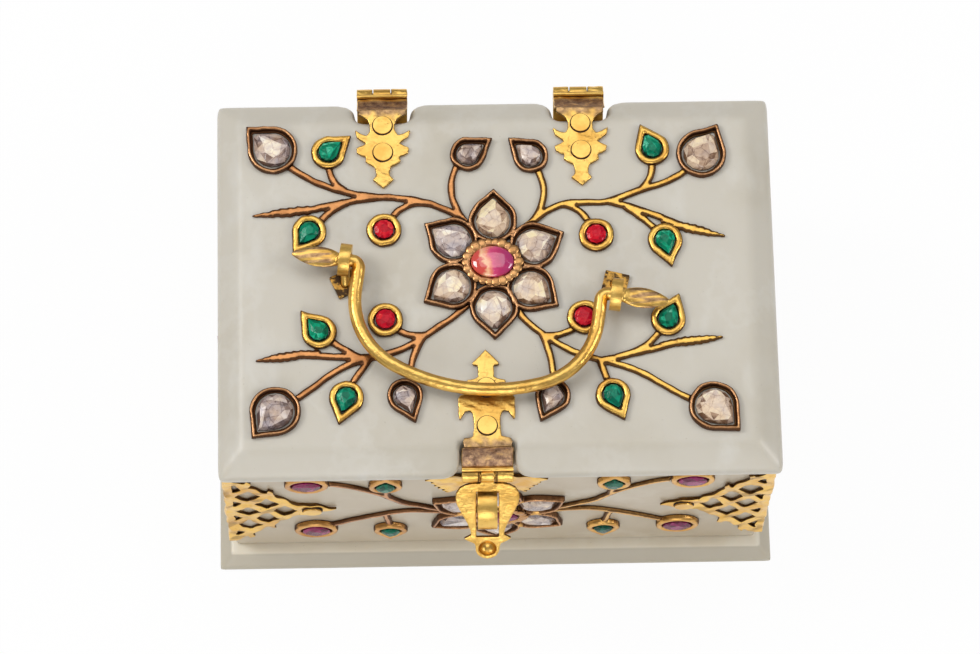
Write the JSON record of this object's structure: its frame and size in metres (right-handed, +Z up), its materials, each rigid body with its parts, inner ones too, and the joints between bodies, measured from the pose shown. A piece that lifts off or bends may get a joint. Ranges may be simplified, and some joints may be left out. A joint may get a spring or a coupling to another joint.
{
  "type": "jeweled casket",
  "caption": "Rectangular stone casket with a hinged bevelled lid, gold sprays of set stones, pierced corner mounts, a bail handle and a hasp over a ring staple.",
  "frame": {"origin": "centre of the base slab's underside", "axes": "+X along the casket's length to the right as seen from the hasp, -Y to the front where the hasp is, +Z up"},
  "size_m": [0.113, 0.0934, 0.0677],
  "materials": {
    "jade": "polished pale grey-green jade",
    "gold": "hand-worked gold, satin to bright",
    "setting_gold": "worn gold with coppery patina",
    "ruby": "faceted, foil-backed",
    "emerald": "faceted, foil-backed",
    "diamond": "flat cut, foil-backed"
  },
  "bodies": {
    "box": {"base_slab": "jade", "front_panel": "jade", "rear_panel": "jade", "left_panel": "jade", "right_panel": "jade", "corner_mount_front_left": "gold", "corner_mount_front_right": "gold", "corner_mount_rear_left": "gold", "corner_mount_rear_right": "gold", "corner_mount_rivets": "gold", "hinge_box_leaf_left": "gold", "hinge_box_leaf_right": "gold", "hinge_box_rivets": "gold", "hinge_pin_left": "gold", "hinge_pin_right": "gold", "staple": "gold", "staple_plate": "gold", "front_setting": "setting_gold", "front_diamonds": "diamond", "front_rubies": "ruby", "front_emeralds": "emerald", "rear_setting": "setting_gold", "rear_diamonds": "diamond", "rear_rubies": "ruby", "rear_emeralds": "emerald", "left_setting": "setting_gold", "left_diamonds": "diamond", "left_rubies": "ruby", "left_emeralds": "emerald", "right_setting": "setting_gold", "right_diamonds": "diamond", "right_rubies": "ruby", "right_emeralds": "emerald"},
    "lid": {"lid_slab": "jade", "lid_flower_setting": "setting_gold", "lid_petal_diamonds": "diamond", "lid_flower_ruby": "ruby", "lid_spray_rear_left": "setting_gold", "lid_spray_rear_right": "setting_gold", "lid_spray_front_left": "setting_gold", "lid_spray_front_right": "setting_gold", "lid_emeralds": "emerald", "lid_bud_diamonds": "diamond", "lid_corner_diamonds": "diamond", "lid_rubies": "ruby", "hinge_lid_leaf_left": "gold", "hinge_lid_leaf_right": "gold", "hinge_lid_rivets": "gold", "hasp_strap": "gold", "hasp_strap_rivets": "gold", "hasp_pin": "gold", "eye_pin_left": "gold", "eye_pin_right": "gold", "eye_washers": "gold"},
    "hasp": {"hasp_plate": "gold"},
    "handle": {"handle": "gold"}
  },
  "joints": [
    {"name": "lid_open", "type": "hinge", "parent": "box", "child": "lid", "pos_m": [0, 0.0414, 0.0555], "axis": [-1, 0, 0], "range_deg": [0, 100]},
    {"name": "hasp_swing", "type": "hinge", "parent": "lid", "child": "hasp", "pos_m": [-0.0026, -0.0378, 0.0543], "axis": [-1, 0, 0], "range_deg": [-30, 100]},
    {"name": "handle_swing", "type": "hinge", "parent": "lid", "child": "handle", "pos_m": [-0.0297, 0.0033, 0.06455], "axis": [-0.9887, 0.1498, 0], "range_deg": [0, 176]}
  ]
}
